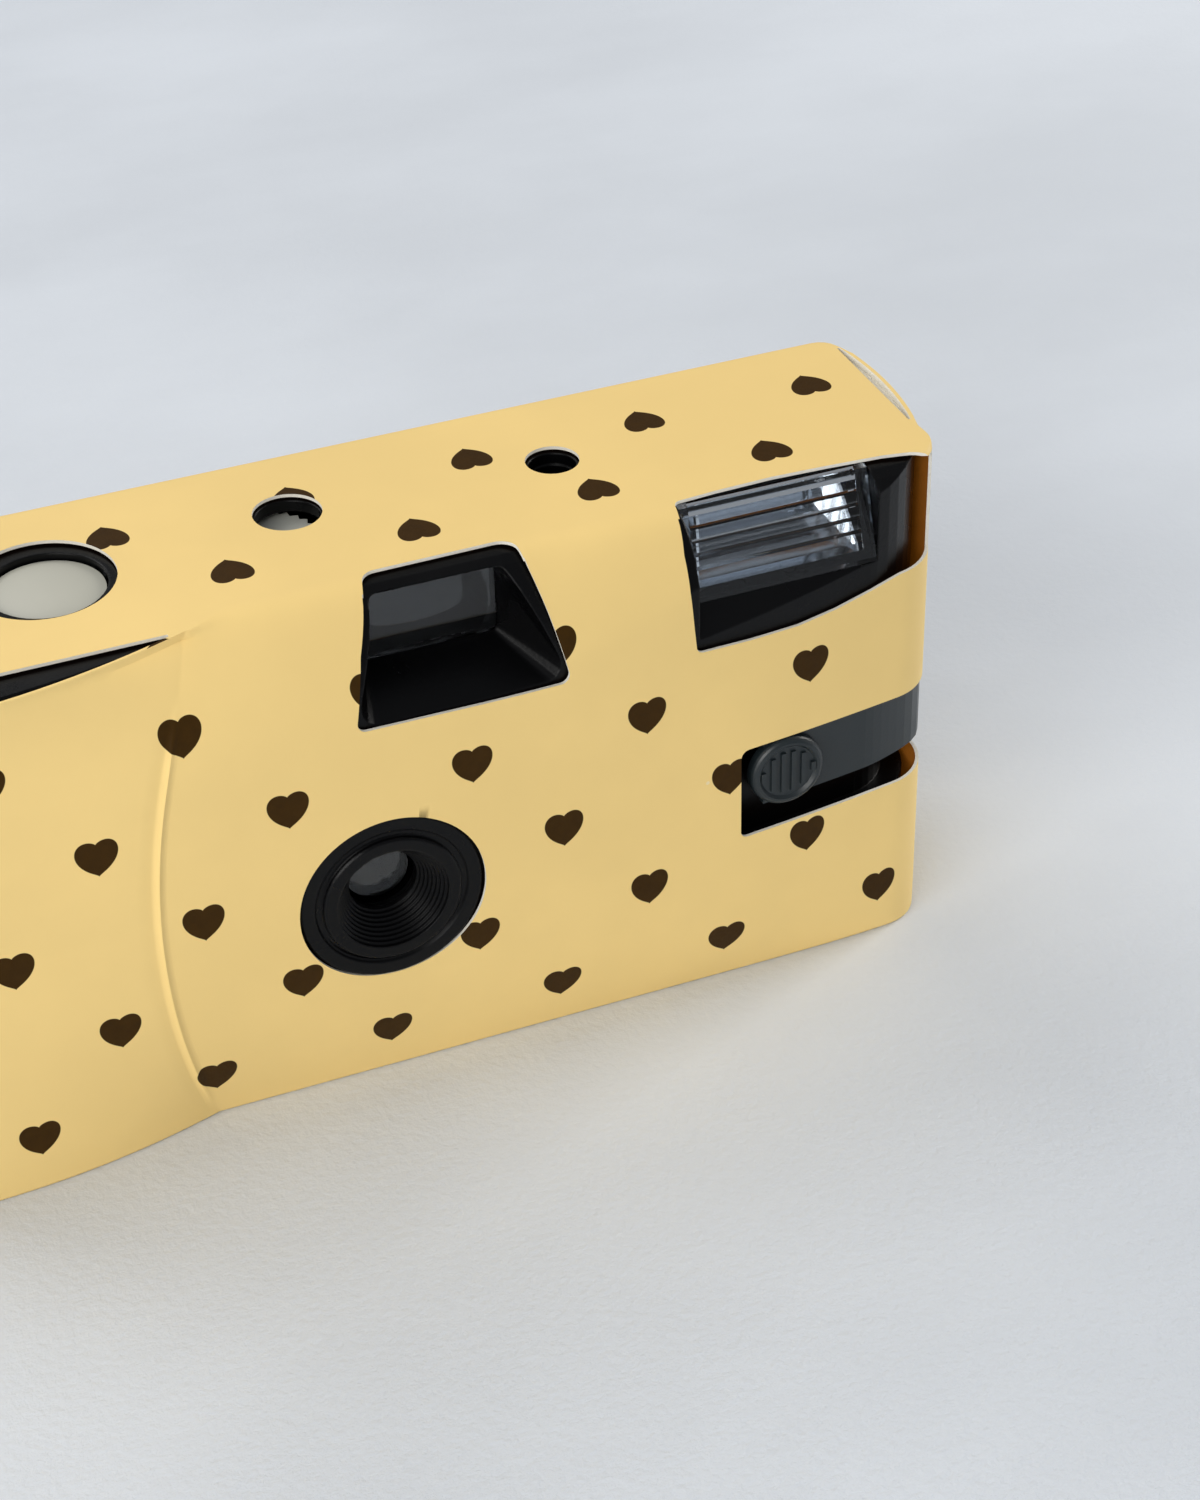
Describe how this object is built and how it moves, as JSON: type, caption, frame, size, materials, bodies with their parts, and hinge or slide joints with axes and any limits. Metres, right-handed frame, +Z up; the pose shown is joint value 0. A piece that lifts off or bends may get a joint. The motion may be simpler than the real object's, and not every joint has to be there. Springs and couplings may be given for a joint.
{
  "type": "disposable film camera",
  "caption": "Single-use film camera in a folded card sleeve, with flash, viewfinder, film advance wheel and a shutter mechanism inside black moulded covers.",
  "frame": {"origin": "middle of the bounding box on the plane that the base stands on", "axes": "+X along the body towards the flash end, +Y from front to back, +Z up"},
  "size_m": [0.114, 0.0322, 0.0574],
  "materials": {
    "card": "coated card, satin, printed pattern",
    "black_plastic": "fine moulded texture",
    "clear_plastic": "clear moulded acrylic",
    "reflector": "bright reflector",
    "tube_glass": "flash tube glass",
    "board": "circuit board",
    "contact": "sprung contact strip",
    "nickel": "nickel plated strip",
    "coil": "taped winding",
    "can_sleeve": "shrink sleeve",
    "lamp": "neon lamp",
    "cell_wrap": "plain battery wrap",
    "shell_metal": "painted tin",
    "film": "film base",
    "dark_plastic": "plain moulding",
    "grey_plastic": "light grey moulding",
    "white_plastic": "white moulding",
    "steel": "pressed sheet",
    "slate_plastic": "dark slate grey moulding"
  },
  "bodies": {
    "camera": {"card_sleeve": "card", "front_cover": "black_plastic", "rear_cover": "black_plastic", "chassis": "black_plastic", "lens_retainer": "black_plastic", "taking_lens": "clear_plastic", "viewfinder_front_lens": "clear_plastic", "eyepiece_lens": "clear_plastic", "flash_lens": "clear_plastic", "flash_reflector": "reflector", "flash_tube": "tube_glass", "flash_board": "board", "charge_contact": "contact", "sync_contact": "contact", "battery_contact_top": "nickel", "battery_contact_bottom": "nickel", "flash_transformer": "coil", "flash_capacitor": "can_sleeve", "ready_lamp": "lamp", "battery": "cell_wrap", "cartridge_shell": "shell_metal", "film_strip": "film"},
    "winder": {"thumb_wheel": "black_plastic", "cartridge_spool": "dark_plastic"},
    "sprocket": {"sprocket_shaft": "white_plastic"},
    "counter": {"counter_dial": "white_plastic"},
    "supply": {"film_roll": "film"},
    "button": {"release_button": "grey_plastic"},
    "release": {"release_lever": "grey_plastic"},
    "striker": {"striker_lever": "steel"},
    "shutter": {"shutter_blade": "dark_plastic"},
    "lever": {"flash_lever": "slate_plastic"}
  },
  "joints": [
    {"name": "winder_turn", "type": "hinge", "parent": "camera", "child": "winder", "pos_m": [-0.0385, 0.00125, 0.048], "axis": [0, 0, 1], "continuous": true},
    {"name": "sprocket_turn", "type": "hinge", "parent": "camera", "child": "sprocket", "pos_m": [-0.01746, 0.0052, 0.045], "axis": [0, 0, 1], "continuous": true},
    {"name": "counter_turn", "type": "hinge", "parent": "camera", "child": "counter", "pos_m": [-0.009, 0.00445, 0.054], "axis": [0, 0, 1], "continuous": true},
    {"name": "supply_turn", "type": "hinge", "parent": "camera", "child": "supply", "pos_m": [0.029, 0.00285, 0.025], "axis": [0, 0, 1], "continuous": true},
    {"name": "button_press", "type": "slide", "parent": "camera", "child": "button", "axis": [0, 0, -1], "range_m": [0, 0.0015], "stiffness_N_per_m": 400},
    {"name": "release_tilt", "type": "hinge", "parent": "camera", "child": "release", "pos_m": [-0.01296, -0.00875, 0.04304], "axis": [0, -1, 0], "range_deg": [0, 10.2]},
    {"name": "striker_swing", "type": "hinge", "parent": "camera", "child": "striker", "pos_m": [-0.00196, -0.00875, 0.04104], "axis": [0, 1, 0], "range_deg": [0, 20], "stiffness_Nm_per_rad": 0.002},
    {"name": "shutter_swing", "type": "hinge", "parent": "camera", "child": "shutter", "pos_m": [0.00504, -0.00755, 0.03004], "axis": [0, 1, 0], "range_deg": [0, 40.5]},
    {"name": "lever_press", "type": "hinge", "parent": "camera", "child": "lever", "pos_m": [0.0553, -0.001, 0.027], "axis": [0, 0, -1], "range_deg": [0, 3.4], "stiffness_Nm_per_rad": 0.3}
  ],
  "couplings": [
    {"joint": "sprocket_turn", "follows": "winder_turn", "ratio": 1.157},
    {"joint": "counter_turn", "follows": "winder_turn", "ratio": -0.0386},
    {"joint": "supply_turn", "follows": "winder_turn", "ratio": 0.8235},
    {"joint": "release_tilt", "follows": "button_press", "rad_per_m": 117},
    {"joint": "shutter_swing", "follows": "striker_swing", "ratio": 2}
  ]
}
